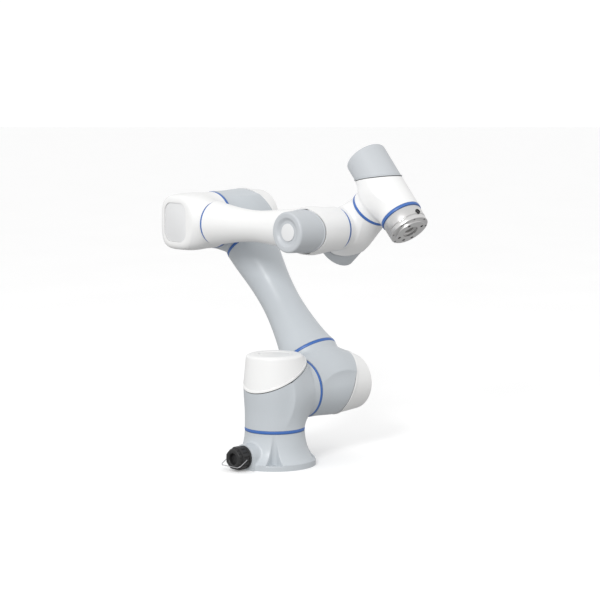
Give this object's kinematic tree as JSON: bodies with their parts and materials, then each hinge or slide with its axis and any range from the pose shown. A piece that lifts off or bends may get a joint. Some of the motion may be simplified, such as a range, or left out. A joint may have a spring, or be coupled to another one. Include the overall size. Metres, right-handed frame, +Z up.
{
  "type": "collaborative robot arm",
  "caption": "Six-axis collaborative robot arm with rounded joint modules, a flared base, two tapering arm tubes and a round tool flange.",
  "frame": {"origin": "centre of the base's underside, on the axis of joint 1", "axes": "+Z up along joint 1, +Y along joint 2 towards the upper arm, +X the way the forearm points at rest"},
  "size_m": [0.6015, 0.3585, 0.65],
  "materials": {
    "silver_paint": "satin silver-grey paint",
    "white_paint": "satin white paint",
    "grey_plastic": "fine matte light grey",
    "blue_plastic": "smooth blue band",
    "seal_rubber": "dark seal",
    "black_plastic": "moulded black",
    "machined_aluminium": "turned and faced",
    "steel": "ground steel",
    "winding": "wound copper and iron",
    "board": "coated circuit board"
  },
  "bodies": {
    "base": {"base_housing": "silver_paint", "base_joint_ring": "blue_plastic", "cable_socket": "black_plastic", "cable_connector": "black_plastic"},
    "bail": {"connector_bail": "steel"},
    "shoulder": {"shoulder_housing": "silver_paint", "shoulder_cap": "white_paint", "shoulder_cap_seal": "seal_rubber", "shoulder_cap_panel": "white_paint", "shoulder_joint_ring": "blue_plastic", "base_gear_unit": "steel", "base_motor_stator": "winding", "base_drive_board": "board"},
    "upper_arm": {"upper_arm_lower_housing": "silver_paint", "upper_arm_lower_cap": "white_paint", "upper_arm_lower_cap_seal": "seal_rubber", "upper_arm_upper_housing": "silver_paint", "upper_arm_upper_cap": "white_paint", "upper_arm_upper_cap_seal": "seal_rubber", "lower_tube_ring": "blue_plastic", "upper_tube_ring": "blue_plastic", "upper_arm_tube": "silver_paint", "shoulder_gear_unit": "steel", "shoulder_motor_stator": "winding", "shoulder_drive_board": "board", "elbow_gear_unit": "steel", "elbow_motor_stator": "winding", "elbow_drive_board": "board"},
    "forearm": {"elbow_housing": "white_paint", "elbow_end_panel": "grey_plastic", "elbow_joint_ring": "blue_plastic", "forearm_tube_ring": "blue_plastic", "forearm_housing": "white_paint", "wrist_1_cap": "grey_plastic", "wrist_1_cap_panel": "grey_plastic", "wrist_1_joint_ring": "blue_plastic", "wrist_1_gear_unit": "steel", "wrist_1_motor_stator": "winding", "wrist_1_drive_board": "board"},
    "wrist_1": {"wrist_1_housing": "white_paint", "wrist_2_cap": "grey_plastic", "wrist_2_joint_ring": "blue_plastic", "wrist_2_gear_unit": "steel", "wrist_2_motor_stator": "winding", "wrist_2_drive_board": "board"},
    "wrist_2": {"wrist_2_housing": "white_paint", "wrist_3_cap": "grey_plastic", "wrist_3_joint_ring": "blue_plastic", "wrist_3_gear_unit": "steel", "wrist_3_motor_stator": "winding", "wrist_3_drive_board": "board"},
    "tool": {"tool_flange": "machined_aluminium", "tool_cable_socket": "black_plastic"},
    "base_rotor": {"base_motor_rotor": "steel"},
    "shoulder_rotor": {"shoulder_motor_rotor": "steel"},
    "elbow_rotor": {"elbow_motor_rotor": "steel"},
    "wrist_1_rotor": {"wrist_1_motor_rotor": "steel"},
    "wrist_2_rotor": {"wrist_2_motor_rotor": "steel"},
    "wrist_3_rotor": {"wrist_3_motor_rotor": "steel"}
  },
  "joints": [
    {"name": "joint_1", "type": "hinge", "parent": "base", "child": "shoulder", "pos_m": [0, 0, 0.147], "axis": [0, 0, 1], "range_deg": [-360, 360]},
    {"name": "joint_2", "type": "hinge", "parent": "shoulder", "child": "upper_arm", "pos_m": [0, 0, 0.147], "axis": [0, 1, 0], "range_deg": [-321.6, 398.4]},
    {"name": "joint_3", "type": "hinge", "parent": "upper_arm", "child": "forearm", "pos_m": [-0.26523, 0, 0.48164], "axis": [0, 1, 0], "range_deg": [-274.4, 21.6]},
    {"name": "joint_4", "type": "hinge", "parent": "forearm", "child": "wrist_1", "pos_m": [0.09177, 0, 0.48164], "axis": [0, 1, 0], "range_deg": [-317.5, 402.5]},
    {"name": "joint_5", "type": "hinge", "parent": "wrist_1", "child": "wrist_2", "pos_m": [0.09177, 0.141, 0.48164], "axis": [0.7373, 0, 0.6756], "range_deg": [-267.2, 452.8]},
    {"name": "joint_6", "type": "hinge", "parent": "wrist_2", "child": "tool", "pos_m": [0.17508, 0.141, 0.55798], "axis": [0.6748, -0.0488, -0.7364], "range_deg": [-360, 360]},
    {"name": "base_motor", "type": "hinge", "parent": "shoulder", "child": "base_rotor", "pos_m": [0, 0, 0.147], "axis": [0, 0, 1], "continuous": true},
    {"name": "shoulder_motor", "type": "hinge", "parent": "upper_arm", "child": "shoulder_rotor", "pos_m": [0, 0.1452, 0.147], "axis": [0, 1, 0], "continuous": true},
    {"name": "elbow_motor", "type": "hinge", "parent": "upper_arm", "child": "elbow_rotor", "pos_m": [-0.26523, 0.1452, 0.48164], "axis": [0, 1, 0], "continuous": true},
    {"name": "wrist_1_motor", "type": "hinge", "parent": "forearm", "child": "wrist_1_rotor", "pos_m": [0.09177, 0.0145, 0.48164], "axis": [0, 1, 0], "continuous": true},
    {"name": "wrist_2_motor", "type": "hinge", "parent": "wrist_1", "child": "wrist_2_rotor", "pos_m": [0.09177, 0.141, 0.48164], "axis": [0.7373, 0, 0.6756], "continuous": true},
    {"name": "wrist_3_motor", "type": "hinge", "parent": "wrist_2", "child": "wrist_3_rotor", "pos_m": [0.17508, 0.141, 0.55798], "axis": [0.6748, -0.0488, -0.7364], "continuous": true},
    {"name": "bail_hinge", "type": "hinge", "parent": "base", "child": "bail", "pos_m": [0, -0.1026, 0.0255], "axis": [1, 0, 0], "range_deg": [-118, 30]}
  ],
  "couplings": [
    {"joint": "base_motor", "follows": "joint_1", "ratio": -100},
    {"joint": "shoulder_motor", "follows": "joint_2", "ratio": -100},
    {"joint": "elbow_motor", "follows": "joint_3", "ratio": -100},
    {"joint": "wrist_1_motor", "follows": "joint_4", "ratio": -100},
    {"joint": "wrist_2_motor", "follows": "joint_5", "ratio": -100},
    {"joint": "wrist_3_motor", "follows": "joint_6", "ratio": -100}
  ]
}
